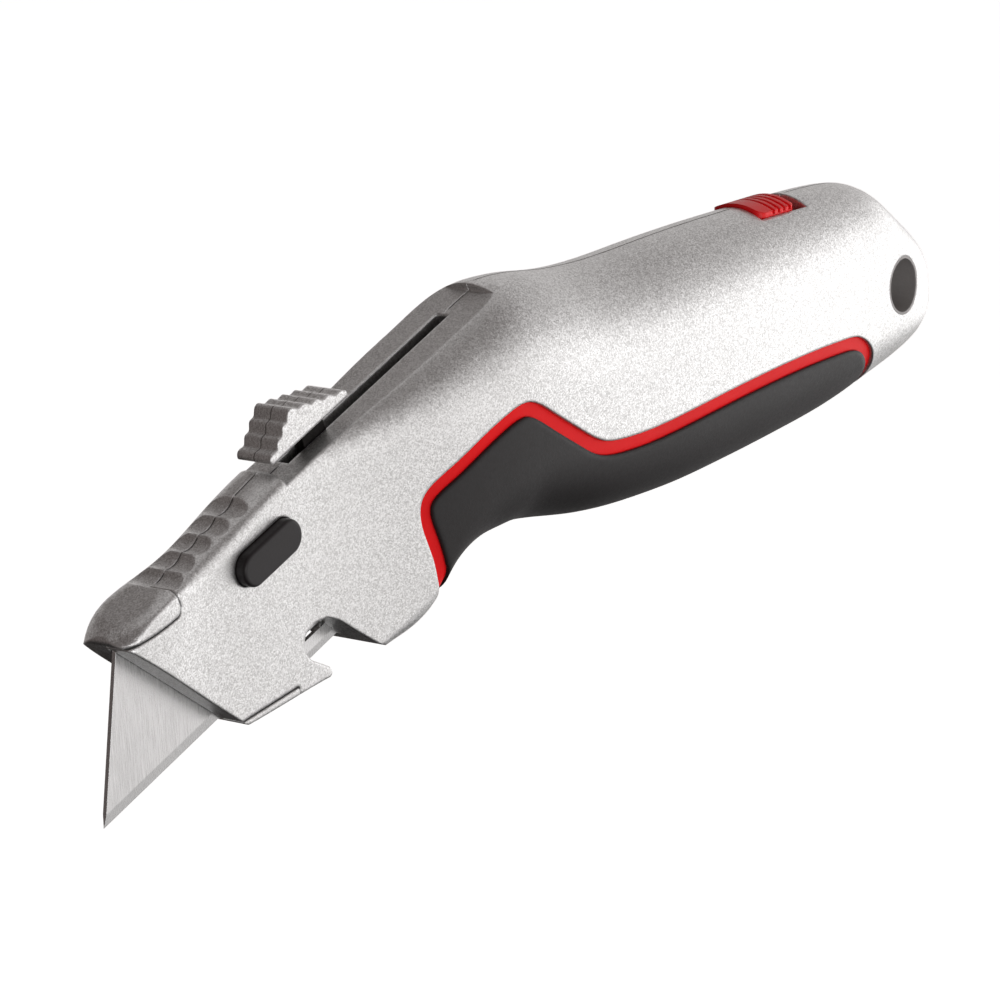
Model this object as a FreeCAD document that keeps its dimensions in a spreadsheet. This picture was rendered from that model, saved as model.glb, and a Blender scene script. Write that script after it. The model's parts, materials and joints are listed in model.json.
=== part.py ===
import FreeCAD, Part

import math
import os

from FreeCAD import Placement, Rotation, Vector

# Utility knife with a retractable trapezoid blade.
# Frame: origin on the axis of the hanging hole, in the parting plane (y = 0).
# -X is the nose, +Z is the slider side, -Y is the side that swings open.

doc = FreeCAD.newDocument("utility_knife")
sheet = doc.addObject("Spreadsheet::Sheet", "sizes")

SIZES = [
    # track and blade
    ("track_deg", 19.2), ("tip_x", -163.8), ("tip_z", -32.1),
    ("blade_len", 61.0), ("blade_wide", 19.0), ("blade_thick", 0.6), ("blade_bevel", 1.5),
    ("blade_end_run", 11.4), ("blade_notch_gap", 7.0), ("blade_notch_wide", 2.4), ("blade_notch_deep", 2.2),
    ("travel", 26.5), ("slot_wide", 2.0), ("slot_start", 47.5), ("slot_end", 82.6),
    ("flat_w", 22.4), ("roof_w", 20.5),
    # shells
    ("wall_nose", 1.6), ("wall_handle", 3.7), ("wall_roof", 2.6), ("rubber_thick", 2.2), ("seam", 0.25),
    ("hole_rad", 3.85), ("bush_wall", 0.4), ("trim_sunk", 0.5),
    # slider
    ("slider_half", 2.8), ("neck_half", 0.85), ("neck_front", 51.2), ("neck_len", 4.4), ("press", 1.0),
    # carrier
    ("sled_start", 25.2), ("sled_end", 72.0), ("sled_low", 8.0), ("sled_high", 18.8), ("sled_side", 1.8),
    # nose button
    ("nbtn_x", -135.4), ("nbtn_z", -4.0), ("nbtn_long", 11.6), ("nbtn_wide", 4.6), ("nbtn_proud", 1.5),
    # rear button
    ("rbtn_front", -28.3), ("rbtn_long", 8.4), ("rbtn_wide", 8.6), ("rbtn_proud", 0.5), ("rbtn_slide", 2.2),
    # blade store
    ("store_long", 64.0), ("store_high", 21.0), ("store_y", 3.2), ("store_count", 3.0),
    ("pin_rad", 1.0), ("screw_rad", 1.2),
]
for row, (name, value) in enumerate(SIZES, start=1):
    sheet.set("A%d" % row, name)
    sheet.set("B%d" % row, repr(float(value)))
    sheet.setAlias("B%d" % row, name)
doc.recompute()


def S(name):
    return float(getattr(sheet, name))


# ---------------------------------------------------------------- track frame
A = math.radians(S("track_deg"))
TX, TZ = math.cos(A), math.sin(A)
TIP = Vector(S("tip_x"), 0, S("tip_z"))
TRACK = Placement(TIP, Rotation(Vector(0, 1, 0), -S("track_deg")))


def uw(u, w, y=0.0):
    """Point u along the cutting edge and w above it, from the blade's tip."""
    return Vector(TIP.x + u * TX - w * TZ, y, TIP.z + u * TZ + w * TX)


def xz(points, y=0.0):
    return [Vector(p[0], y, p[1]) for p in points]


def prism(points, y0, y1):
    """Polygon in the XZ plane, extruded from y0 to y1."""
    pts = [Vector(p.x, y0, p.z) for p in points]
    face = Part.Face(Part.makePolygon(pts + [pts[0]]))
    return face.extrude(Vector(0, y1 - y0, 0))


def rounded(points, radii):
    """Closed wire in XZ with a tangent arc at each corner that has a radius."""
    n = len(points)
    cut = []
    for i in range(n):
        p, a, b = points[i], points[i - 1], points[(i + 1) % n]
        r = radii[i] if isinstance(radii, (list, tuple)) else radii
        if r <= 0:
            cut.append((p, None, p))
            continue
        da, db = (a - p).normalize(), (b - p).normalize()
        half = 0.5 * da.getAngle(db)
        t = min(r / math.tan(half), 0.49 * (a - p).Length, 0.49 * (b - p).Length)
        r = t * math.tan(half)
        mid = (da + db).normalize()
        centre = p + mid * (r / math.sin(half))
        cut.append((p + da * t, centre - mid * r, p + db * t))
    edges = []
    for i in range(n):
        s, m, e = cut[i]
        if m is not None:
            edges.append(Part.Arc(s, m, e).toShape())
        nxt = cut[(i + 1) % n][0]
        if (nxt - e).Length > 1e-6:
            edges.append(Part.LineSegment(e, nxt).toShape())
    return Part.Wire(edges)


def rprism(points, radii, y0, y1):
    pts = [Vector(p.x, y0, p.z) for p in points]
    return Part.Face(rounded(pts, radii)).extrude(Vector(0, y1 - y0, 0))


def table(rows):
    """Monotone cubic interpolation through (x, value) rows."""
    xs = [r[0] for r in rows]
    ys = [r[1] for r in rows]
    n = len(xs)
    d = [(ys[i + 1] - ys[i]) / (xs[i + 1] - xs[i]) for i in range(n - 1)]
    m = [d[0]] + [0.0] * (n - 2) + [d[-1]]
    for i in range(1, n - 1):
        if d[i - 1] * d[i] > 0:
            h0, h1 = xs[i] - xs[i - 1], xs[i + 1] - xs[i]
            w1, w2 = 2 * h1 + h0, h1 + 2 * h0
            m[i] = (w1 + w2) / (w1 / d[i - 1] + w2 / d[i])

    def f(x):
        if x <= xs[0]:
            return ys[0] + m[0] * (x - xs[0])
        if x >= xs[-1]:
            return ys[-1] + m[-1] * (x - xs[-1])
        i = max(j for j in range(n - 1) if xs[j] <= x)
        h = xs[i + 1] - xs[i]
        t = (x - xs[i]) / h
        return ((2 * t ** 3 - 3 * t ** 2 + 1) * ys[i] + (t ** 3 - 2 * t ** 2 + t) * h * m[i]
                + (-2 * t ** 3 + 3 * t ** 2) * ys[i + 1] + (t ** 3 - t ** 2) * h * m[i + 1])

    return f


# ------------------------------------------------------------ outer body form
# crown line, bottom line, half thickness, top and bottom rounding along X
crown = table([(-170, -11.8), (-162, -8.4), (-150, -3.3), (-140, 0.9), (-131, 4.7), (-125, 7.0), (-115, 10.4),
               (-105, 13.8), (-97, 16.5), (-91, 18.5), (-86, 19.3), (-81, 19.0), (-74, 17.9), (-66, 17.1),
               (-58, 16.9), (-48, 17.05), (-38, 16.95), (-28, 16.7), (-16, 16.35), (-8, 15.8), (-2.7, 14.8), (0.7, 13.1),
               (4.8, 9.7), (7.5, 7.5), (9.8, 5.4), (12.0, 2.8), (13.5, 0.5), (14.2, -1.5)])
keel = table([(-170, -30), (-131, -28.5), (-125, -27), (-119, -24.4), (-115, -23.0), (-112, -22.4), (-109, -21.5),
              (-106.5, -19.8), (-103.5, -16.8), (-99, -14.4), (-94, -13.45), (-88, -13.3), (-80, -14.5),
              (-72, -16.0), (-63, -16.9), (-52, -17.2), (-40, -16.8), (-28, -16.2), (-17, -15.4), (-8, -14.1),
              (-2.7, -13.2), (0.7, -12.6), (4.8, -11.6), (7.5, -10.6), (9.8, -9.2), (12.0, -7.0), (13.5, -4.8), (14.2, -3.2)])
half = table([(-170, 4.2), (-128, 4.2), (-122, 4.7), (-116, 5.9), (-110, 7.5), (-104, 9.0), (-98, 10.1),
              (-90, 10.9), (-80, 11.2), (-60, 11.3), (-40, 11.0), (-28, 10.5), (-17, 9.8), (-8, 9.05), (-2.7, 8.6),
              (0.7, 8.25), (4.8, 7.6), (7.5, 6.9), (9.8, 5.9), (12.0, 4.3), (13.5, 2.6), (14.2, 1.3)])
rtop = table([(-170, 2.6), (-131, 2.7), (-124, 3.9), (-116, 6.0), (-104, 10.0), (-95, 13.0), (-80, 14.0), (-50, 14.0),
              (-20, 13.0), (-8, 12.0), (0.7, 10.5), (7.5, 7.5), (12, 4.3), (14.2, 0.8)])
rbot = table([(-170, 1.0), (-125, 1.2), (-119, 2.0), (-112, 3.6), (-106, 5.5), (-99, 7.5), (-85, 10.0),
              (-60, 11.0), (-30, 11.0), (-10, 10.0), (0.7, 9.0), (7.5, 6.5), (12, 4.0), (14.2, 0.8)])
# how square the crown is: share of the half width that stays level
level = table([(-170, 0.80), (-131, 0.80), (-123, 0.62), (-116, 0.52), (14.2, 0.52)])

STATIONS = [-172, -160, -148, -138, -131, -126, -121, -117, -113.5, -110, -107, -104, -100, -95.5, -91, -87.5, -84,
            -79.5, -74, -67, -60, -52, -44, -36, -28, -20, -13, -8, -3.8, 0.2, 3.5, 6.3, 8.8, 10.9, 12.5, 13.6, 14.2]


def section(x, side, inset=(0.0, 0.0, 0.0), kb=0.56):
    """Half cross-section at x: crown quarter, flat side, keel quarter, closed on the parting plane."""
    zt, zb, t = crown(x) - inset[1], keel(x) + inset[2], half(x) - inset[0]
    ra, rb = max(rtop(x) - inset[1], 0.6), max(rbot(x) - inset[2], 0.6)
    room = (zt - zb) - 0.3
    if ra + rb > room:
        k = room / (ra + rb)
        ra, rb = ra * k, rb * k
    y = side * t
    top = Part.BezierCurve()
    top.setPoles([Vector(x, 0, zt), Vector(x, level(x) * y, zt), Vector(x, y, zt - ra + 0.58 * ra), Vector(x, y, zt - ra)])
    bot = Part.BezierCurve()
    bot.setPoles([Vector(x, y, zb + rb), Vector(x, y, zb + rb - 0.58 * rb), Vector(x, kb * y, zb), Vector(x, 0, zb)])
    e = [top.toShape(), Part.LineSegment(Vector(x, y, zt - ra), Vector(x, y, zb + rb)).toShape(), bot.toShape(),
         Part.LineSegment(Vector(x, 0, zb), Vector(x, 0, zt)).toShape()]
    return Part.Wire(e)


def form(side, inset=lambda x: (0.0, 0.0, 0.0), stations=STATIONS):
    return Part.makeLoft([section(x, side, inset(x)) for x in stations], True, False)


def both(shape):
    return shape.mirror(Vector(0, 0, 0), Vector(0, 1, 0))


outer = form(-1)

# side outline of the nose: front face, bottom edge, cord notch, finger bump
FRONT_HI, FRONT_LO = Vector(-162.6, 0, -8.35), Vector(-141.3, 0, -24.75)
front_dir = (FRONT_LO - FRONT_HI).normalize()
far = 30.0
hi = FRONT_HI - front_dir * far
nose_cut = prism([hi, FRONT_LO + front_dir * far, FRONT_LO + front_dir * far + Vector(-60, 0, 0), hi + Vector(-60, 0, 0)],
                 -20, 20)
under = [Vector(-150, 0, -25.85), Vector(-139.5, 0, -24.85), Vector(-124.6, 0, -23.15), Vector(-125.1, 0, -21.9),
         Vector(-128.4, 0, -20.1), Vector(-129.6, 0, -18.6), Vector(-129.2, 0, -16.6), Vector(-127.2, 0, -15.5),
         Vector(-124.9, 0, -15.4), Vector(-122.9, 0, -16.3), Vector(-116.8, 0, -21.1), Vector(-111.8, 0, -23.1),
         Vector(-111.8, 0, -36), Vector(-150, 0, -36)]
under_cut = rprism(under, [0, 0, 0.5, 0.6, 0.8, 1.2, 1.2, 1.2, 1.2, 1.5, 3.0, 0, 0, 0], -20, 20)
# the two front corners are rounded off in side view
keep = rprism(xz([(-162.38, -8.52), (-140.98, -25.0), (-132, -24.05), (-132, -60), (30, -60), (30, 40), (-150, 40),
                  (-150, -3.2)]), [0.9, 0.8, 0, 0, 0, 0, 0, 0], -20, 20)
outer = outer.cut(nose_cut).cut(under_cut).common(keep)

# flat on the slope that the slider runs over
flat_cut = prism([uw(43.2, S("flat_w")), uw(88.6, S("flat_w")), uw(88.2, S("flat_w") + 8), uw(43.2, S("flat_w") + 8)],
                 -20, 20)
outer = outer.cut(flat_cut)

# finger scallops across the nose
for i, (x, z) in enumerate([(-138.6, 1.45), (-142.0, 0.0), (-145.3, -1.4), (-148.6, -2.8), (-151.6, -4.05)]):
    n = Vector(-0.39, 0, 0.92)
    c = Vector(x, -20, z) + n * 2.82 + Vector(0.9, 0, 0.38)
    outer = outer.cut(Part.makeCylinder(3.4, 40, c, Vector(0, 1, 0)))

# ----------------------------------------------------------- rubber and trim
inner_layer = form(-1, lambda x: (S("rubber_thick"),) * 3)
layer = outer.cut(inner_layer)
TRIM = [(-106.6, -26), (-107.2, -17.3), (-107.5, -14.1), (-108.3, -10.5), (-109.3, -7.0), (-109.2, -4.4),
        (-107.6, -2.3), (-105.6, -1.2), (-92.9, 4.6), (-91.2, 4.95), (-89.4, 4.8), (-86.9, 3.5), (-78.1, -2.4),
        (-75.0, -4.0), (-71.8, -4.6), (-53.8, -4.4), (-16.4, -3.9), (-13.8, -4.25), (-10.5, -6.0), (-8.4, -8.6),
        (-7.8, -11.0), (-8.5, -14.4), (-9.4, -26)]


def path_face(points, offset, y0, y1):
    wire = Part.BSplineCurve()
    wire.interpolate([Vector(p[0], y0, p[1]) for p in points])
    pts = wire.discretize(90)
    if offset:
        moved = []
        for i, p in enumerate(pts):
            t = (pts[min(i + 1, len(pts) - 1)] - pts[max(i - 1, 0)]).normalize()
            moved.append(p + Vector(t.z, 0, -t.x) * offset)
        pts = [moved[0]]
        for p in moved[1:]:
            if (p - pts[-1]).Length > 0.35:
                pts.append(p)
    spline = Part.BSplineCurve()
    spline.approximate(Points=pts, DegMax=5, Tolerance=0.03)
    a, b = spline.value(spline.FirstParameter), spline.value(spline.LastParameter)
    edges = [spline.toShape(), Part.LineSegment(b, a).toShape()]
    return Part.Face(Part.Wire(edges)).extrude(Vector(0, y1 - y0, 0))


trim_out = path_face(TRIM, 0.0, -20, 0)
trim_in = path_face(TRIM, 2.0, -20, 0)
grip_zone = layer.common(trim_out)
grip = grip_zone.common(trim_in)
sunk = form(-1, lambda x: (S("trim_sunk"),) * 3)
trim = grip_zone.cut(trim_in).common(sunk)

# ------------------------------------------------------------------- cavity
cav_inset = lambda x: ((S("wall_nose") if x < -124 else min(S("wall_handle"), S("wall_nose") + (x + 124) * 0.16)),
                       S("wall_roof"), S("wall_handle"))
cav_form = form(-1, cav_inset, [x for x in STATIONS if x < -3])
cav_side = [uw(14.6, 20.3), uw(16.5, S("roof_w")), uw(84.5, S("roof_w")), Vector(-80, 0, 30), Vector(-12.5, 0, 30),
            Vector(-12.5, 0, -30), Vector(-95, 0, -30), uw(60, -3.2), uw(52, -1.0), uw(47.5, 4.6), uw(36, 5.2),
            uw(33.5, 2.4), uw(26.8, 2.4)]
cavity = cav_form.common(prism(cav_side, -20, 0))
blade_way = prism([uw(-6, -0.45), uw(92, -0.45), uw(92, 19.5), uw(-6, 19.5)], -0.5, 0)
slot = prism([uw(S("slot_start"), 18), uw(S("slot_end"), 18), uw(S("slot_end"), 30), uw(S("slot_start"), 30)],
             -S("slot_wide") / 2, 0)

# pocket for the rear release button, open to the cavity
xb = S("rbtn_front")
pocket = Part.makeBox(S("rbtn_long") + 2.6, S("rbtn_wide") / 2 + 0.25, 12,
                      Vector(xb - 0.25, -S("rbtn_wide") / 2 - 0.25, 12.6))

half_shell = outer.cut(grip_zone).cut(cavity).cut(blade_way).cut(slot).cut(pocket)
bush_r = S("hole_rad") + S("bush_wall")
half_shell = half_shell.cut(Part.makeCylinder(bush_r, 40, Vector(0, -20, 0), Vector(0, 1, 0)))

# nose hook and bottom lip of the right shell wrap on to the left side
HOOK = [(-175, 4), (-153.2, 4), (-152.3, -5.0), (-151.5, -7.4), (-162, -9.75), (-175, -12.5)]
hook = rprism(xz(HOOK), [0, 0, 3.0, 1.0, 0, 0], -20, 0)
s = S("seam")
hook_gap = rprism(xz([(-175, 5), (-153.2 + s, 5), (-152.3 + s, -5.0), (-151.5 + s, -7.4 - s), (-162, -9.75 - s),
                      (-175, -12.5 - s)]), [0, 0, 3.0, 1.2, 0, 0], -20, 1)
LIP = [(-142.5, -30), (-142.5, -24.6), (-139.2, -24.1), (-131.0, -22.95), (-130.9, -30)]
lip = rprism(xz(LIP), [0, 0, 0, 0.4, 0], -20, 0)
lip_gap = rprism(xz([(-142.5, -31), (-142.5, -24.35), (-139.2, -23.8), (-131.0 + 0.1, -22.65), (-130.5, -31)]),
                 [0, 0, 0, 0.5, 0], -20, 1)

left_raw = half_shell.cut(hook_gap).cut(lip_gap)
right_raw = both(half_shell)
hook_solid = half_shell.common(hook)
lip_solid = half_shell.common(lip)
right_raw = right_raw.fuse(hook_solid).fuse(lip_solid)

# oblong window for the nose button, left shell only
L2, W2 = S("nbtn_long") / 2, S("nbtn_wide") / 2


def stadium(cx, cz, long_half, wide_half, y0, y1):
    d = Vector(TX, 0, TZ)
    n = Vector(-TZ, 0, TX)
    c = Vector(cx, y0, cz)
    a, b = c - d * (long_half - wide_half), c + d * (long_half - wide_half)
    e = [Part.LineSegment(a + n * wide_half, b + n * wide_half).toShape(),
         Part.Arc(b + n * wide_half, b + d * wide_half, b - n * wide_half).toShape(),
         Part.LineSegment(b - n * wide_half, a - n * wide_half).toShape(),
         Part.Arc(a - n * wide_half, a - d * wide_half, a + n * wide_half).toShape()]
    return Part.Face(Part.Wire(e)).extrude(Vector(0, y1 - y0, 0))


cut_room = prism([uw(37.9, -3.45), uw(48.5, -3.45), uw(48.5, -0.5), uw(37.9, -0.5)], -0.34, 0.34)
left_raw = left_raw.cut(cut_room)
left_raw = left_raw.cut(stadium(S("nbtn_x"), S("nbtn_z"), L2 + 0.12, W2 + 0.12, -8, 0))

# sockets and pins that line the halves up
PINS = [(-9.6, 7.6), (-8.6, -7.4), (-112.4, -17.6)]
for x, z in PINS:
    left_raw = left_raw.cut(Part.makeCylinder(S("pin_rad") + 0.4, 2.2, Vector(x, -2.2, z), Vector(0, 1, 0)))
    right_raw = right_raw.cut(Part.makeCylinder(S("pin_rad"), 2.6, Vector(x, 0, z), Vector(0, 1, 0)))


def feature(label, shape):
    solids = shape.Solids
    if len(solids) == 1:
        shape = solids[0]
    elif len(solids) > 1 and label not in GROUPS:
        solids = sorted(solids, key=lambda q: -q.Volume)
        shape = solids[0]
    obj = doc.addObject("Part::Feature", label)
    obj.Label = label
    place = shape.Placement
    obj.Shape = shape
    obj.Placement = place
    nodes.append(obj)
    return obj


GROUPS = {"spare_blades", "rail_screws", "locating_pins", "latch_keepers"}
nodes = []

feature("left_shell", left_raw)
feature("left_grip", grip)
feature("left_grip_trim", trim)
feature("right_grip", both(grip))
feature("right_grip_trim", both(trim))

# bushes that line the hanging hole, one in each half
for side, label in ((-1, "left_hang_bush"), (1, "right_hang_bush")):
    ring = Part.makeCylinder(bush_r, 20, Vector(0, 0, 0), Vector(0, side, 0))
    ring = ring.common(outer if side < 0 else both(outer))
    ring = ring.cut(Part.makeCylinder(S("hole_rad"), 30, Vector(0, -15, 0), Vector(0, 1, 0)))
    feature(label, ring)


# ------------------------------------------------------- parametric helpers
def link(obj, prop, text):
    obj.setExpression(prop, text)


def box(label, length, width, height, place, keep=True):
    """Part::Box whose sizes are sheet expressions."""
    b = doc.addObject("Part::Box", label)
    b.Label = label
    link(b, "Length", length)
    link(b, "Width", width)
    link(b, "Height", height)
    b.Placement = place
    if keep:
        nodes.append(b)
    return b


def track_place(u, w, y):
    return Placement(uw(u, w, y), TRACK.Rotation)


doc.recompute()


def body_sketch(label, outline, holes, pad, y_mid, place, midplane=True):
    """PartDesign body: outline sketched on the body's XZ plane and padded."""
    body = doc.addObject("PartDesign::Body", label)
    body.Label = label
    sk = body.newObject("Sketcher::SketchObject", label + "_sketch")
    plane = [o for o in body.Origin.OriginFeatures if getattr(o, "Role", "") == "XZ_Plane"][0]
    sk.AttachmentSupport = [(plane, "")]
    sk.MapMode = "FlatFace"
    import Sketcher

    def loop(points):
        first = len(sk.Geometry)
        n = len(points)
        vals = [(float(sheet_value(p[0])), float(sheet_value(p[1]))) for p in points]
        for i in range(n):
            a, b = vals[i], vals[(i + 1) % n]
            sk.addGeometry(Part.LineSegment(Vector(a[0], a[1], 0), Vector(b[0], b[1], 0)), False)
        for i in range(n):
            sk.addConstraint(Sketcher.Constraint("Coincident", first + i, 2, first + (i + 1) % n, 1))
        for i in range(n):
            for axis, k in (("DistanceX", 0), ("DistanceY", 1)):
                c = sk.addConstraint(Sketcher.Constraint(axis, -1, 1, first + i, 1, vals[i][k]))
                if isinstance(points[i][k], str):
                    sk.setExpression("Constraints[%d]" % c, points[i][k])

    loop(outline)
    for h in holes:
        loop(h)
    doc.recompute()
    p = body.newObject("PartDesign::Pad", label + "_pad")
    p.Profile = sk
    p.setExpression("Length", pad)
    p.Midplane = midplane
    doc.recompute()
    body.Tip = p
    body.Placement = place
    doc.recompute()
    return body


def sheet_value(v):
    """Value of a sheet expression, or the number itself."""
    if not isinstance(v, str):
        return v
    names = {}
    for name, _ in SIZES:
        names["sizes." + name] = S(name)
    return calc(v, names)


def calc(text, names):
    """Adds and subtracts the terms of a sheet expression such as 'sizes.a / 2 + 3'."""
    total = 0.0
    for sign, term in split_terms(text):
        value = 1.0
        op = "*"
        for token in term.replace("*", " * ").replace("/", " / ").split():
            if token in "*/":
                op = token
                continue
            x = names[token] if token in names else float(token)
            value = value * x if op == "*" else value / x
        total += sign * value
    return total


def split_terms(text):
    out, sign, cur = [], 1, ""
    for ch in text.replace(" ", ""):
        if ch in "+-" and cur:
            out.append((sign, cur))
            cur, sign = "", 1 if ch == "+" else -1
        elif ch in "+-":
            sign = sign if ch == "+" else -sign
        else:
            cur += ch
    out.append((sign, cur))
    return out


# --------------------------------------------------------------------- blade
bl, bw, br = "sizes.blade_len", "sizes.blade_wide", "sizes.blade_end_run"
nd = "sizes.blade_wide - sizes.blade_notch_deep"
mid = "sizes.blade_len / 2"


def blade_outline():
    g, w = "sizes.blade_notch_gap / 2", "sizes.blade_notch_wide / 2"
    return [("0", "0"), (bl, "0"), (bl + " - " + br, bw),
            (mid + " + " + g + " + " + w, bw), (mid + " + " + g + " + " + w, nd),
            (mid + " + " + g + " - " + w, nd), (mid + " + " + g + " - " + w, bw),
            (mid + " - " + g + " + " + w, bw), (mid + " - " + g + " + " + w, nd),
            (mid + " - " + g + " - " + w, nd), (mid + " - " + g + " - " + w, bw),
            (br, bw)]


def bevelled(shape_body, label, place):
    return shape_body


blade = body_sketch("blade", blade_outline(), [], "sizes.blade_thick", 0, Placement())
# ground bevels on both faces, cut as pockets from a sketch on the YZ plane
for tag, sgn in (("near", -1), ("far", 1)):
    import Sketcher
    sk = blade.newObject("Sketcher::SketchObject", "bevel_" + tag)
    plane = [o for o in blade.Origin.OriginFeatures if getattr(o, "Role", "") == "YZ_Plane"][0]
    sk.AttachmentSupport = [(plane, "")]
    sk.MapMode = "FlatFace"
    t, hgt = S("blade_thick") / 2, S("blade_bevel")
    pts = [(sgn * 0.02, 0), (sgn * t, hgt), (sgn * (t + 0.3), hgt), (sgn * (t + 0.3), -0.5), (sgn * 0.02, -0.5)]
    for i in range(5):
        a, b = pts[i], pts[(i + 1) % 5]
        sk.addGeometry(Part.LineSegment(Vector(a[0], a[1], 0), Vector(b[0], b[1], 0)), False)
    for i in range(5):
        sk.addConstraint(Sketcher.Constraint("Coincident", i, 2, (i + 1) % 5, 1))
    c = sk.addConstraint(Sketcher.Constraint("DistanceY", -1, 1, 1, 1, hgt))
    sk.setExpression("Constraints[%d]" % c, "sizes.blade_bevel")
    doc.recompute()
    before = blade.Shape.Volume
    cutter = blade.newObject("PartDesign::Pocket", "bevel_cut_" + tag)
    cutter.Profile = sk
    cutter.Type = 1
    cutter.Midplane = False
    doc.recompute()
    if abs(blade.Shape.Volume - before) < 1.0:
        cutter.Reversed = True
        doc.recompute()
    blade.Tip = cutter
    doc.recompute()
    print("bevel", tag, round(before, 1), "->", round(blade.Shape.Volume, 1))
blade.Placement = TRACK
nodes.append(blade)

# ------------------------------------------------------------- blade carrier
sled = body_sketch(
    "blade_carrier",
    [("sizes.sled_start", "sizes.sled_low + 4"), ("sizes.sled_start + 5", "sizes.sled_low"),
     ("sizes.sled_end - 2", "sizes.sled_low"), ("sizes.sled_end", "sizes.sled_low + 2"),
     ("sizes.sled_end", "sizes.sled_high - 3.8"), ("sizes.sled_end - 6.5", "sizes.sled_high"),
     ("sizes.sled_start", "sizes.sled_high")],
    [[(43.0, 11.5), (47.0, 11.5), (47.0, 14.5), (43.0, 14.5)], [(60.0, 10.5), (66.0, 10.5), (66.0, 13.5), (60.0, 13.5)]],
    "sizes.sled_side", 0, Placement())
sled_y = S("blade_thick") / 2 + 0.06 + S("sled_side") / 2
sled.Placement = Placement(uw(0, 0, sled_y), TRACK.Rotation)
block = doc.addObject("Part::Feature", "sled_block")
rear = lambda w: S("blade_len") - w * S("blade_end_run") / S("blade_wide") + 0.4
bk = prism([uw(rear(9), 9), uw(71.5, 9), uw(71.5, 14.9), uw(65.3, 18.8), uw(rear(18.8), 18.8)], -2.1, sled_y)
pegs = [Part.makeCylinder(0.95, sled_y + 0.8, uw(S("blade_len") / 2 + k * S("blade_notch_gap") / 2, S("blade_wide") - 1.15,
                                                -0.8), Vector(0, 1, 0)) for k in (-1, 1)]
block.Shape = bk.fuse(pegs)
block.Placement = Placement()
whole = doc.addObject("Part::MultiFuse", "carrier_uncut")
whole.Shapes = [sled, block]
well = doc.addObject("Part::Box", "neck_well")
well.setExpression("Length", "sizes.neck_len + 1.2")
well.setExpression("Width", "sizes.neck_half * 2 + 0.6")
well.Height = 8
well.Placement = Placement(uw(S("neck_front") - 0.6, 14.2, -S("neck_half") - 0.3), TRACK.Rotation)
carrier = doc.addObject("Part::Cut", "carrier_cut")
carrier.Base = whole
carrier.Tool = well
sled.Label = "carrier_plate"
carrier.Label = "blade_carrier"
doc.recompute()
nodes.append(carrier)

# leaf that keeps the blade on its pegs
clip = body_sketch("blade_clip", [(40.0, 8.6), (58.0, 8.6), (58.0, 10.8), (53.0, 12.2), (40.0, 12.2)], [], "0.4", 0,
                   Placement())
clip.Placement = Placement(uw(0, 0, -(S("blade_thick") / 2 + 0.06 + 0.2)), TRACK.Rotation)
nodes.append(clip)

def coil_spring(base, axis, length, radius, wire, turns):
    """Compression spring standing on base: its turns as one ribbed sleeve of the wire's thickness."""
    pitch = length / turns
    pts = [Vector(radius - wire, 0, 0)]
    for i in range(turns):
        pts += [Vector(radius + 0.2 * wire, 0, pitch * i), Vector(radius + wire, 0, pitch * (i + 0.5))]
    pts += [Vector(radius + 0.2 * wire, 0, length), Vector(radius - wire, 0, length)]
    body = Part.Face(Part.makePolygon(pts + [pts[0]])).revolve(Vector(0, 0, 0), Vector(0, 0, 1), 360)
    body.Placement = Placement(base, Rotation(Vector(0, 0, 1), axis))
    return body


# ------------------------------------------------------------- thumb slider
wave = [(-116.15, 11.35), (-116.25, 11.75), (-116.75, 12.05), (-117.45, 12.15), (-118.6, 11.80), (-119.75, 12.17),
        (-120.95, 11.80), (-122.15, 12.19), (-123.35, 11.82), (-124.55, 12.21), (-125.75, 11.86), (-126.85, 12.22),
        (-127.45, 12.0), (-127.75, 11.4), (-127.95, 10.75), (-128.75, 10.3), (-128.9, 9.55), (-129.0, 9.15),
        (-129.75, 8.75), (-130.0, 8.0), (-130.1, 7.6), (-131.0, 7.25), (-131.5, 6.7), (-131.4, 6.15)]
lip_low = uw(43.9, 25.2)
curve = Part.BSplineCurve()
curve.interpolate([uw(59.2, 25.2)] + [Vector(x, 0, z) for x, z in wave] + [lip_low])
rim = Part.Wire([curve.toShape(), Part.LineSegment(lip_low, uw(59.2, 25.2)).toShape()])
cap = Part.Face(rim)
cap.translate(Vector(0, -S("slider_half"), 0))
cap = cap.extrude(Vector(0, 2 * S("slider_half"), 0))
neck = prism([uw(S("neck_front"), 18.0), uw(S("neck_front") + S("neck_len"), 18.0),
              uw(S("neck_front") + S("neck_len"), 25.4), uw(S("neck_front"), 25.4)], -S("neck_half"), S("neck_half"))
feature("thumb_slider", cap.fuse(neck).removeSplitter())

# spring under the slider's neck: a flat coil of square turns
zs = []
feature("slider_spring", coil_spring(uw(53.4, 14.25), Vector(-TZ, 0, TX), 3.7, 0.8, 0.13, 5))

# --------------------------------------------------- detent rail and its screws
rail = body_sketch("detent_rail", [(44.0, 19.15), (86.0, 19.15), (86.0, 20.35), (81.0, 20.35), (80.0, 19.75), (79.0, 20.35),
                                   (67.5, 20.35), (66.5, 19.75), (65.5, 20.35), (54.0, 20.35), (53.0, 19.75),
                                   (52.0, 20.35), (44.0, 20.35)], [], "1.1", 0, Placement())
rail.Placement = Placement(uw(0, 0, 1.85), TRACK.Rotation)
nodes.append(rail)
heads = []
up = Vector(-TZ, 0, TX)
for u in (45.2, 84.6):
    h = Part.makeCylinder(0.6, 0.2, uw(u, 18.95, 1.85), up)
    heads.append(h.fuse(Part.makeCylinder(0.4, 2.4, uw(u, 19.0, 1.85), up)))
feature("rail_screws", Part.makeCompound(heads))

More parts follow.
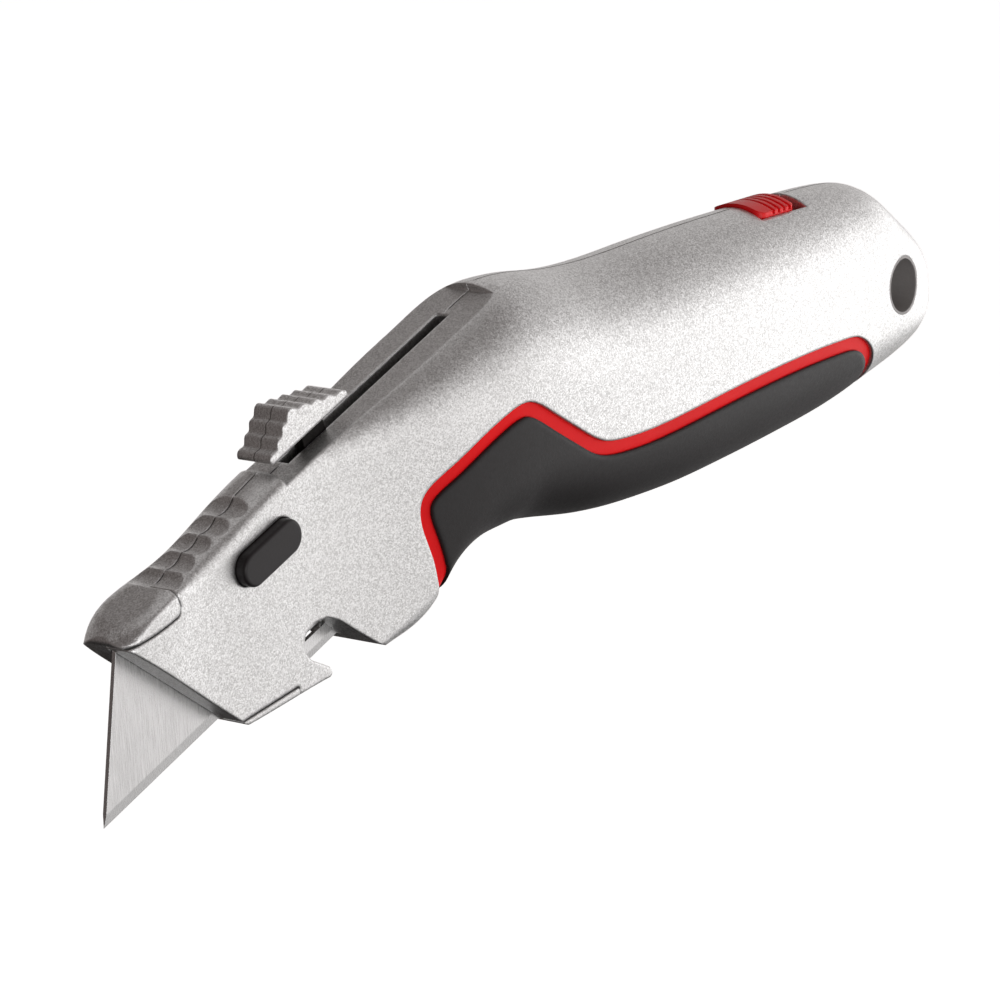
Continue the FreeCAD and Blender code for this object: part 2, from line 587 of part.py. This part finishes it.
# fixed cutter whose edge crosses the cord notch, set under the path of the blade
CUT = [(38.0, -3.3), (48.4, -3.3), (48.4, -0.6), (38.0, -0.6)]
strip = prism([uw(u, w) for u, w in CUT], -0.3, 0.3)
for sgn in (-1, 1):
    e = [Vector(*uw(37.5, -3.35, sgn * 0.05)), Vector(*uw(37.5, -2.2, sgn * 0.3)), Vector(*uw(37.5, -2.2, sgn * 0.9)),
         Vector(*uw(37.5, -3.35, sgn * 0.9))]
    strip = strip.cut(Part.Face(Part.makePolygon(e + [e[0]])).extrude(Vector(TX, 0, TZ) * 11.5))
feature("cord_cutter", strip)

# hard plate that steadies the blade just inside the nose
guide = body_sketch("nose_guide", [(17.0, 16.5), (24.6, 5.6), (30.0, 5.6), (30.0, 7.6), (24.6, 7.6), (24.6, 19.2),
                                   (17.0, 19.2)], [], "2.0", 0, Placement())
guide.Placement = Placement(uw(0, 0, 0.6 + 1.0), TRACK.Rotation)
nodes.append(guide)
doc.recompute()
feature("right_shell", right_raw.cut(guide.Shape).cut(rail.Shape).cut(cut_room))

# ------------------------------------------------------ nose button and spring
yn = -half(-135.4)
face = stadium(S("nbtn_x"), S("nbtn_z"), L2, W2, yn - S("nbtn_proud"), -3.0)
try:
    edge = [e for e in face.Edges if abs(e.BoundBox.YMax - (yn - S("nbtn_proud"))) < 1e-3]
    face = face.makeFillet(0.45, edge)
except Exception as err:
    print("nose button edge left square", err)
foot = stadium(S("nbtn_x"), S("nbtn_z"), L2 + 0.6, W2 + 0.45, -2.55, -2.3).fuse(
    stadium(S("nbtn_x"), S("nbtn_z"), L2 - 0.1, W2 - 0.1, -3.1, -2.4))
feature("blade_release_button", face.fuse(foot).removeSplitter())
bow = [(25.8, -2.6), (27.2, -2.6), (28.9, -2.28), (43.2, -2.28), (44.9, -2.6), (46.3, -2.6), (46.3, -2.42),
       (45.0, -2.42), (43.3, -2.1), (28.8, -2.1), (27.1, -2.42), (25.8, -2.42)]
bow = [uw(u, 16.1, y) for u, y in bow]
feature("blade_release_spring", Part.Face(Part.makePolygon(bow + [bow[0]])).extrude(Vector(-TZ, 0, TX) * 2.2))

# ----------------------------------------------------- rear button and latch
proud = form(-1, lambda x: (-S("rbtn_proud"), -S("rbtn_proud"), 0.0), [x for x in STATIONS if -52 <= x <= 3])
proud = proud.fuse(both(proud))
cap = Part.makeBox(S("rbtn_long"), S("rbtn_wide"), 10, Vector(xb, -S("rbtn_wide") / 2, 13.0))
try:
    cap = cap.makeFillet(1.3, [e for e in cap.Edges if abs(e.BoundBox.ZLength - 10) < 1e-3])
except Exception as err:
    print("rear button corners left square", err)
low = form(-1, lambda x: (0.0, 0.0, 0.0), [x for x in STATIONS if -52 <= x <= 3])
low = low.fuse(both(low))
ribs = [Part.makeBox(2.9, 20, 20, Vector(xb - 0.1, -10, 5))]
ribs += [Part.makeBox(0.72, 20, 20, Vector(xb + 3.35 + 1.28 * k, -10, 5)) for k in range(4)]
top_part = cap.common(proud).common(Part.makeCompound(ribs))
cap = cap.common(low).fuse(top_part.Solids)
feature("release_button", cap)
bar = prism(xz([(xb + 0.6, 13.0), (xb + 7.4, 13.0), (xb + 7.4, 10.4), (xb + 0.6, 10.4), (xb + 0.6, 7.2),
                (xb - 1.4, 7.2), (xb - 1.4, 8.6), (xb - 0.6, 9.4), (xb - 0.6, 11.6)]), -2.0, 2.0)
feature("release_latch", bar)
feature("release_spring", coil_spring(Vector(xb + 7.45, 0, 11.7), Vector(1, 0, 0), 8.3, 1.1, 0.18, 8))
keeper = Part.makeBox(2.2, 4.9, 2.4, Vector(xb - 4.2, -7.3, 7.4))
feature("latch_keeper", keeper)

# ------------------------------------------------------------- blade store
room = form(1, lambda x: (S("wall_handle") + 0.1, S("wall_roof") + 0.1, S("wall_handle") + 0.1),
            [x for x in STATIONS if -92 <= x <= -7])
tray = Part.makeBox(S("store_long"), 8.0, S("store_high"), Vector(-81.0, S("store_y"), -9.8)).common(room)
tray = tray.cut(Part.makeBox(S("store_long") - 2.0, 2.1, S("store_high") - 1.6, Vector(-80.0, S("store_y") - 0.01, -9.0)))
for k in range(3):
    tray = tray.cut(Part.makeBox(16.0, 6.0, 10.0, Vector(-77.0 + 20.0 * k, S("store_y") + 2.9, -5.0)))
feature("spare_blade_tray", tray)
spares = []
for k in range(int(S("store_count"))):
    y = S("store_y") + 0.05 + 0.62 * k
    pts = [Vector(-79.5, y, -8.8), Vector(-79.5 + S("blade_len"), y, -8.8),
           Vector(-79.5 + S("blade_len") - S("blade_end_run"), y, -8.8 + S("blade_wide")),
           Vector(-79.5 + S("blade_end_run"), y, -8.8 + S("blade_wide"))]
    spares.append(Part.Face(Part.makePolygon(pts + [pts[0]])).extrude(Vector(0, S("blade_thick"), 0)))
feature("spare_blades", Part.makeCompound(spares))
sclip = Part.makeBox(6.0, 0.35, 20.6, Vector(-52.0, S("store_y") - 0.36, -9.6))
feature("spare_blade_clip", sclip)

# -------------------------------------------------------------------- pins
feature("locating_pins", Part.makeCompound(
    [Part.makeCylinder(S("pin_rad"), 4.2, Vector(x, -1.6, z), Vector(0, 1, 0)) for x, z in PINS]))

doc.recompute()

# ------------------------------------------------------------ check and write
os.makedirs("parts", exist_ok=True)
bad = []
for o in doc.Objects:
    if "Invalid" in o.State or "Error" in o.State:
        bad.append((o.Label, o.State))
for o in nodes:
    sh = o.Shape
    if sh.isNull() or not sh.isValid() or not sh.Solids:
        bad.append((o.Label, "shape"))
if bad:
    raise SystemExit("not written: %r" % bad)
labels = [o.Label for o in nodes]
assert len(set(labels)) == len(labels)
for old in os.listdir("parts"):
    if old.endswith(".step"):
        os.remove(os.path.join("parts", old))
for o in nodes:
    sh = o.Shape
    b = sh.BoundBox
    print("%-22s solids %d vol %9.1f  x %.1f..%.1f y %.1f..%.1f z %.1f..%.1f" % (
        o.Label, len(sh.Solids), sh.Volume, b.XMin, b.XMax, b.YMin, b.YMax, b.ZMin, b.ZMax))
    sh.exportStep("parts/%s.step" % o.Label)
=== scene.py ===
"""Looks for the utility knife. Every length is in metres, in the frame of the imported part."""
import math

import bpy
from mathutils import Matrix, Vector
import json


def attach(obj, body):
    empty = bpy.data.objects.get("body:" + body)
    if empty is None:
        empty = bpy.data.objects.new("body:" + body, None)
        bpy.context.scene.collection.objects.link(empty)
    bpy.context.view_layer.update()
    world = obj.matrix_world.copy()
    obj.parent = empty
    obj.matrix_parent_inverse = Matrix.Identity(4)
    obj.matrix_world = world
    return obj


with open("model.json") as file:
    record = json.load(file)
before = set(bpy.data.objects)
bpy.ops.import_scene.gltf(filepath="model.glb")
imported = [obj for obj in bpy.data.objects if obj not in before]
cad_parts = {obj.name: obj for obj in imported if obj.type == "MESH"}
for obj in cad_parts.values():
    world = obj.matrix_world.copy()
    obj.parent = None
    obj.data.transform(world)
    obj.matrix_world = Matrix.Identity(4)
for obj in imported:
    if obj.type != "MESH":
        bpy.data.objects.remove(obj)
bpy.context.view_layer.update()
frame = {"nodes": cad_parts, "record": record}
MM = 0.001
scene = bpy.context.scene
nodes = frame["nodes"]


# ---------------------------------------------------------------- camera
def rot20(v):
    a = math.radians(20.0)
    return Vector((v[0] * math.cos(a) + v[2] * math.sin(a), v[1], -v[0] * math.sin(a) + v[2] * math.cos(a)))


TURN, ROLL = math.radians(52.3), math.radians(8.8)
k, q = math.cos(TURN), math.sin(TURN)
toward = rot20((-q, -k, 0.0))
m_h = rot20((k, -q, 0.0))
m_v = rot20((0.0, 0.0, 1.0))
right = math.cos(ROLL) * m_h + math.sin(ROLL) * m_v
up = -math.sin(ROLL) * m_h + math.cos(ROLL) * m_v
cam_data = bpy.data.cameras.new("camera")
cam_data.lens, cam_data.sensor_width = 180.0, 36.0
cam_data.clip_start, cam_data.clip_end = 0.02, 30.0
cam = bpy.data.objects.new("camera", cam_data)
scene.collection.objects.link(cam)
m = Matrix.Identity(4)
for i in range(3):
    m[i][0], m[i][1], m[i][2] = right[i], up[i], toward[i]
    m[i][3] = (-0.57628, -0.40493, 0.16796)[i]
cam.matrix_world = m
scene.camera = cam
scene.view_settings.view_transform = "Standard"
scene.view_settings.look = "None"


# ---------------------------------------------------------------- stage and light
def area(name, at, look, size, power, colour=(1, 1, 1)):
    data = bpy.data.lights.new(name, "AREA")
    data.shape, data.size, data.size_y = "RECTANGLE", size[0], size[1]
    data.energy, data.color = power, colour
    o = bpy.data.objects.new(name, data)
    scene.collection.objects.link(o)
    o.location = at
    o.rotation_mode = "QUATERNION"
    o.rotation_quaternion = (Vector(look) - Vector(at)).to_track_quat("-Z", "Y")
    return o


# ---------------------------------------------------------------- materials
class Nodes:
    """A small helper that adds shader nodes to one material and links them."""

    def __init__(self, name):
        self.mat = bpy.data.materials.new(name)
        self.mat.use_nodes = True
        self.tree = self.mat.node_tree
        self.bsdf = self.tree.nodes["Principled BSDF"]
        self.coord = self.tree.nodes.new("ShaderNodeTexCoord").outputs["Object"]

    def put(self, socket, value):
        if isinstance(value, bpy.types.NodeSocket):
            self.tree.links.new(value, socket)
        else:
            socket.default_value = value

    def add(self, kind, out=0, props=None, **inputs):
        node = self.tree.nodes.new(kind)
        for key, value in (props or {}).items():
            setattr(node, key, value)
        for key, value in inputs.items():
            name = key.replace("_", " ")
            self.put(node.inputs[int(key[1:])] if key[0] == "i" and key[1:].isdigit() else node.inputs[name], value)
        return node.outputs[out]

    def scaled(self, size):
        return self.add("ShaderNodeMapping", Vector=self.coord, Scale=size)

    def noise(self, scale, detail=2.0, rough=0.5, vector=None):
        return self.add("ShaderNodeTexNoise", 0, Vector=vector or self.coord, Scale=scale, Detail=detail, Roughness=rough)

    def cells(self, scale, vector=None):
        """One random grey value for each small cell."""
        c = self.add("ShaderNodeTexVoronoi", 1, Vector=vector or self.coord, Scale=scale)
        return self.add("ShaderNodeSeparateColor", 0, Color=c)

    def math(self, op, a, b=0.0, c=0.0, clamp=False):
        return self.add("ShaderNodeMath", 0, {"operation": op, "use_clamp": clamp}, i0=a, i1=b, i2=c)

    def fit(self, value, lo, hi, to_lo=0.0, to_hi=1.0, smooth=False):
        return self.add("ShaderNodeMapRange", 0, {"interpolation_type": "SMOOTHSTEP" if smooth else "LINEAR"},
                        Value=value, From_Min=lo, From_Max=hi, To_Min=to_lo, To_Max=to_hi)

    def ramp(self, value, stops):
        node = self.tree.nodes.new("ShaderNodeValToRGB")
        cr = node.color_ramp
        while len(cr.elements) < len(stops):
            cr.elements.new(0.5)
        for e, (p, c) in zip(cr.elements, stops):
            e.position, e.color = p, (*c, 1)
        self.put(node.inputs[0], value)
        return node.outputs[0]

    def mix(self, fac, a, b, blend="MIX"):
        node = self.tree.nodes.new("ShaderNodeMix")
        node.data_type, node.blend_type = "RGBA", blend
        self.put(node.inputs[0], fac)
        for i, v in ((6, a), (7, b)):
            self.put(node.inputs[i], (*v, 1) if isinstance(v, tuple) and len(v) == 3 else v)
        return node.outputs[2]

    def soft_edge(self, radius, samples=6):
        return self.add("ShaderNodeBevel", 0, {"samples": samples}, Radius=radius)

    def edge(self, soft, lo=0.985, hi=0.80):
        """1 on an edge that the soft normal rounds, 0 on the open surface."""
        n = self.add("ShaderNodeNewGeometry", 1)
        d = self.add("ShaderNodeVectorMath", 1, {"operation": "DOT_PRODUCT"}, i0=soft, i1=n)
        return self.fit(d, lo, hi)

    def bump(self, height, distance, strength=1.0, normal=None, invert=False):
        node = self.tree.nodes.new("ShaderNodeBump")
        node.invert = invert
        node.inputs["Strength"].default_value = strength
        node.inputs["Distance"].default_value = distance
        self.put(node.inputs["Height"], height)
        if normal is not None:
            self.put(node.inputs["Normal"], normal)
        return node.outputs[0]

    def along(self, direction, origin=(0, 0, 0)):
        """Distance along a direction from a point, in metres."""
        v = self.add("ShaderNodeVectorMath", 0, {"operation": "SUBTRACT"}, i0=self.coord, i1=origin)
        return self.add("ShaderNodeVectorMath", 1, {"operation": "DOT_PRODUCT"}, i0=v, i1=direction)

    def finish(self, colour, rough, metallic=0.0, normal=None, **sockets):
        self.put(self.bsdf.inputs["Base Color"], (*colour, 1) if isinstance(colour, tuple) and len(colour) == 3 else colour)
        self.put(self.bsdf.inputs["Roughness"], rough)
        self.put(self.bsdf.inputs["Metallic"], metallic)
        if normal is not None:
            self.put(self.bsdf.inputs["Normal"], normal)
        for key, value in sockets.items():
            self.bsdf.inputs[key.replace("_", " ")].default_value = value
        return self.mat


TIP = (-0.1638, 0.0, -0.0321)
A = math.radians(19.2)
T_X, T_Z = math.cos(A), math.sin(A)
ALONG, ABOVE = (T_X, 0.0, T_Z), (-T_Z, 0.0, T_X)


def sparkle_paint(name, dark, light, neck=False):
    """Silver lacquer with fine metal flakes, each tilted its own way, over a cast surface."""
    n = Nodes(name)
    flakes = n.tree.nodes.new("ShaderNodeTexVoronoi")
    n.put(flakes.inputs["Vector"], n.coord)
    flakes.inputs["Scale"].default_value = 6200
    tilt = n.add("ShaderNodeVectorMath", 0, {"operation": "SUBTRACT"}, i0=flakes.outputs["Color"], i1=(0.5, 0.5, 0.5))
    flake = n.add("ShaderNodeSeparateColor", 0, Color=flakes.outputs["Color"])
    grain = n.noise(3600, 3, 0.6)
    mass = n.noise(45, 2, 0.5)
    v = n.math("ADD", n.math("MULTIPLY", flake, 0.5), n.math("MULTIPLY", grain, 0.5))
    colour = n.ramp(v, [(0.25, dark), (0.75, light)])
    colour = n.mix(n.fit(mass, 0.3, 0.7, 0.0, 0.10), colour, tuple(c * 0.8 for c in dark))
    soft = n.soft_edge(0.0006, 8)
    # lighter on the edges that the soft normal rounds: partly paint worn thin there, partly a painted highlight
    edge_wear_and_highlight = n.edge(soft)
    colour = n.mix(n.math("MULTIPLY", edge_wear_and_highlight, 0.30), colour, (0.86, 0.855, 0.85))
    rough = n.fit(grain, 0.3, 0.7, 0.33, 0.47)
    if neck:
        # painted shade: below the top of the slot the silver slider goes almost black, standing in for the shade
        # inside the slot
        w = n.along(ABOVE, TIP)
        low = n.fit(w, 0.0251, 0.0247)
        colour = n.mix(low, colour, (0.03, 0.028, 0.027))
        # painted shade: a thin dark line along the middle plane, like the seam shadow along the crown
        parting = n.fit(n.math("ABSOLUTE", n.along((0.0, 1.0, 0.0))), 0.00005, 0.00011, 0.75, 0.0)
        colour = n.mix(parting, colour, (0.06, 0.055, 0.05))
    tilted = n.add("ShaderNodeVectorMath", 0, {"operation": "MULTIPLY_ADD"}, i0=tilt, i1=(0.13, 0.13, 0.13), i2=soft)
    tilted = n.add("ShaderNodeVectorMath", 0, {"operation": "NORMALIZE"}, i0=tilted)
    normal = n.bump(grain, 0.00003, 0.35, tilted)
    return n.finish(colour, rough, 0.90, normal)


def moulded(name, base, rough, soft_radius, grain=3000, depth=0.000012, edge_shade_colour=None, edge_shade_amount=0.5, **sockets):
    """Moulded plastic or rubber: fine texture from the mould, a little colour drift, rounded edges, and painted shade
    along the edges where an edge colour is given.
    """
    n = Nodes(name)
    fine = n.noise(grain, 4, 0.6)
    pits = n.cells(grain * 1.3)
    drift = n.noise(70, 2, 0.5)
    colour = n.mix(n.fit(drift, 0.3, 0.7), tuple(c * 0.88 for c in base), tuple(min(1.0, c * 1.10) for c in base))
    colour = n.mix(n.fit(fine, 0.35, 0.75, 0.0, 0.25), colour, tuple(min(1.0, c * 1.5 + 0.01) for c in base))
    soft = n.soft_edge(soft_radius)
    # painted shade: a darker colour on the edges that the soft normal rounds, standing in for the shade in the
    # grooves
    if edge_shade_colour is not None:
        colour = n.mix(n.math("MULTIPLY", n.edge(soft), edge_shade_amount), colour, edge_shade_colour)
    r = n.math("ADD", n.fit(fine, 0.2, 0.8, rough - 0.07, rough + 0.09), n.math("MULTIPLY", pits, 0.04))
    normal = n.bump(n.math("ADD", fine, n.math("MULTIPLY", pits, 0.35)), depth, 0.6, soft)
    return n.finish(colour, r, 0.0, normal, **sockets)


def ground_steel(name, base, rough, lines=(220.0, 9000.0, 9000.0), depth=0.000004, soft_radius=0.00008, tilt=None):
    """Ground or rolled steel: long fine lines in one direction, a little uneven gloss."""
    n = Nodes(name)
    turned = n.add("ShaderNodeMapping", Vector=n.coord, Rotation=(0.0, tilt or 0.0, 0.0), Scale=lines)
    brush = n.add("ShaderNodeTexNoise", 0, Vector=turned, Scale=1.0, Detail=3.0, Roughness=0.65)
    cloud = n.noise(180, 3, 0.5)
    colour = n.ramp(n.math("ADD", n.math("MULTIPLY", brush, 0.7), n.math("MULTIPLY", cloud, 0.3)),
                    [(0.25, tuple(c * 0.78 for c in base)), (0.75, tuple(min(1.0, c * 1.12) for c in base))])
    r = n.fit(brush, 0.25, 0.75, rough - 0.07, rough + 0.10)
    soft = n.soft_edge(soft_radius)
    normal = n.bump(brush, depth, 0.5, soft)
    return n.finish(colour, r, 1.0, normal)


MATS = {
    "body_paint": sparkle_paint("body_paint", (0.545, 0.542, 0.537), (0.86, 0.86, 0.86)),
    "slider_paint": sparkle_paint("slider_paint", (0.56, 0.555, 0.55), (0.90, 0.90, 0.90), neck=True),
    "rubber": moulded("rubber", (0.0095, 0.0074, 0.0080), 0.50, 0.0011, 2600, 0.00002, Specular_IOR_Level=0.42),
    # the red trim gets painted shade along its edges
    "red_trim": moulded("red_trim", (0.98, 0.006, 0.009), 0.42, 0.00035, 2600, 0.00001, (0.30, 0.006, 0.006), 0.6, Specular_IOR_Level=0.12),
    "red_plastic": moulded("red_plastic", (0.95, 0.010, 0.013), 0.36, 0.0003, 3200, 0.000008, Specular_IOR_Level=0.3),
    "dark_plastic": moulded("dark_plastic", (0.011, 0.0080, 0.009), 0.42, 0.0003, 3600, 0.00001, Specular_IOR_Level=0.35),
    # painted shade: the hang hole's liner gets a darker grey than the silver shells, standing in for the shade inside
    # the hole
    "bush_plastic_hole_shade": moulded("bush_plastic_hole_shade", (0.34, 0.325, 0.32), 0.55, 0.0002, 3600, 0.00001),
    "carrier_plastic": moulded("carrier_plastic", (0.045, 0.045, 0.048), 0.40, 0.0002, 3600, 0.00001),
    "blade_steel": ground_steel("blade_steel", (0.70, 0.70, 0.70), 0.27, (9000.0, 9000.0, 260.0), tilt=A),
    "spring_steel": ground_steel("spring_steel", (0.52, 0.515, 0.51), 0.28),
    "screw_steel": ground_steel("screw_steel", (0.50, 0.50, 0.52), 0.30, (4000.0, 4000.0, 4000.0)),
}
for part in frame["record"]["subparts"]:
    o = nodes[part["node"]]
    o.data.materials.clear()
    # the hang hole liners take the grey that paints the shade inside the hole
    slot = "bush_plastic_hole_shade" if part["node"].endswith("hang_bush") else part["material_slot"]
    o.data.materials.append(MATS[slot])

# ---------------------------------------------------------------- painted shade: a thin dark strip along the parting line of the crown
from mathutils.bvhtree import BVHTree


def tree_of(name):
    me = nodes[name].data
    return BVHTree.FromPolygons([v.co for v in me.vertices], [tuple(p.vertices) for p in me.polygons])


shells = [tree_of("left_shell"), tree_of("right_shell")]


def top_at(x, y):
    best = None
    for t in shells:
        hit = t.ray_cast(Vector((x, y, 0.05)), Vector((0, 0, -1)))
        if hit[0] is not None and (best is None or hit[0].z > best):
            best = hit[0].z
    return best


def seam_shade_strip_material(name, colour):
    n = Nodes(name)
    grit = n.noise(4000, 3, 0.6)
    return n.finish(n.mix(grit, colour, tuple(c * 2.2 for c in colour)), n.fit(grit, 0.3, 0.7, 0.55, 0.8), 0.0,
                    n.bump(grit, 0.00001, 0.5))


SEAM = seam_shade_strip_material("seam_shadow", (0.035, 0.033, 0.032))
runs, run, last = [], [], None
for i in range(0, 331):
    x = (-151.5 + i * 0.5) * MM
    z = top_at(x, 0.00012)
    zl = top_at(x, -0.00012)
    ok = z is not None and zl is not None and abs(z - zl) < 0.0003 and (last is None or abs(z - last) < 0.0007)
    if z is not None:
        last = z
    if ok:
        run.append((x, max(z, zl)))
    elif run:
        runs.append(run)
        run = []
if run:
    runs.append(run)
for j, run in enumerate(r for r in runs if len(r) > 4):
    run = run[1:-1]
    verts, faces = [], []
    for i, (x, z) in enumerate(run):
        w = 0.00009 if 0 < i < len(run) - 1 else 0.00002
        verts += [(x, -w, z - 0.00003), (x, -w * 0.6, z + 0.00002), (x, w * 0.6, z + 0.00002), (x, w, z - 0.00003)]
        if i:
            a = 4 * (i - 1)
            for c in range(3):
                faces.append((a + c, a + c + 1, a + c + 5, a + c + 4))
            faces.append((a + 3, a, a + 4, a + 7))
    e = 4 * (len(run) - 1)
    faces += [(3, 2, 1, 0), (e, e + 1, e + 2, e + 3)]
    me = bpy.data.meshes.new("parting_line_%d" % j)
    me.from_pydata(verts, [], faces)
    me.materials.append(SEAM)
    piece = bpy.data.objects.new("parting_line_%d" % j, me)
    scene.collection.objects.link(piece)
    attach(piece, "right_half")
print("parting line runs", [(round(r[0][0] * 1000, 1), round(r[-1][0] * 1000, 1)) for r in runs])

# ---------------------------------------------------------------- floor, world, lamps
fz = -0.26
floor_mesh = bpy.data.meshes.new("floor")
floor_mesh.from_pydata([(-9, -9, fz), (9, -9, fz), (9, 9, fz), (-9, 9, fz)], [], [(0, 1, 2, 3)])
floor = bpy.data.objects.new("floor", floor_mesh)
scene.collection.objects.link(floor)
n = Nodes("floor_paper")
paper = n.noise(900, 3, 0.6)
floor_mesh.materials.append(n.finish(n.mix(paper, (0.86, 0.86, 0.86), (0.90, 0.90, 0.90)), 0.9, 0.0, n.bump(paper, 0.00005, 0.3),
                                     Emission_Color=(1, 1, 1, 1), Emission_Strength=0.80))
floor.visible_glossy = False
floor.visible_diffuse = False

world = bpy.data.worlds.new("world")
scene.world = world
world.use_nodes = True
wt = world.node_tree
back = wt.nodes["Background"]
back.inputs[1].default_value = 1.0
WALL, ROOM = 0.62, 0.125
where = wt.nodes.new("ShaderNodeTexCoord").outputs["Generated"]
sep = wt.nodes.new("ShaderNodeSeparateXYZ")
wt.links.new(where, sep.inputs[0])


def world_math(op, a, b=0.0, clamp=False):
    node = wt.nodes.new("ShaderNodeMath")
    node.operation, node.use_clamp = op, clamp
    for i, v in enumerate((a, b)):
        if isinstance(v, bpy.types.NodeSocket):
            wt.links.new(v, node.inputs[i])
        else:
            node.inputs[i].default_value = v
    return node.outputs[0]


def world_fit(v, lo, hi, to_lo, to_hi):
    node = wt.nodes.new("ShaderNodeMapRange")
    node.interpolation_type = "SMOOTHSTEP"
    wt.links.new(v, node.inputs[0])
    for i, x in enumerate((lo, hi, to_lo, to_hi)):
        node.inputs[i + 1].default_value = x
    return node.outputs[0]


# a pale room with a white wall to the right of the camera and a darker ceiling
height = world_math("ABSOLUTE", sep.outputs[2])
front_low = world_math("MULTIPLY", world_fit(sep.outputs[1], -0.30, 0.20, 1.0, 0.0), 0.30)
low = world_fit(world_math("ADD", sep.outputs[2], front_low), -0.55, -0.28, 0.0, 1.0)
near = world_math("MULTIPLY", world_math("MULTIPLY", world_fit(sep.outputs[0], -0.05, 0.45, 0.0, 1.0), low),
                  world_fit(sep.outputs[2], 0.28, 0.55, 1.0, 0.0))
far = world_math("MULTIPLY", world_fit(sep.outputs[0], 0.45, 0.80, 0.0, 1.0), world_fit(height, 0.50, 0.85, 1.0, 0.0))
side = world_math("MULTIPLY", world_fit(sep.outputs[1], -0.80, -0.63, 0.85, 0.0), world_fit(sep.outputs[0], -0.20, 0.30, 0.0, 1.0))
wall = world_math("ADD", world_math("MAXIMUM", near, far), side)
room = world_fit(sep.outputs[2], -0.75, -0.25, 0.0, ROOM)
mixc = wt.nodes.new("ShaderNodeCombineColor")
for i, (t, u) in enumerate(((1.0, 1.04), (0.99, 0.90), (0.985, 0.86))):
    wt.links.new(world_math("ADD", world_math("MULTIPLY", world_math("MULTIPLY", wall, WALL), t), world_math("MULTIPLY", room, u)), mixc.inputs[i])
wt.links.new(mixc.outputs[0], back.inputs[0])
MID = (-0.05, 0.0, -0.005)
for lamp in (area("wall", (0.34, -0.12, -0.03), (-0.02, 0, 0.0), (0.44, 0.30), 0.48),
             area("front", (-0.42, -0.75, -0.05), MID, (0.6, 0.5), 2.5),
             area("over", (0.1, 0.1, 1.0), MID, (0.9, 0.9), 1.0)):
    lamp.visible_camera = False

import json
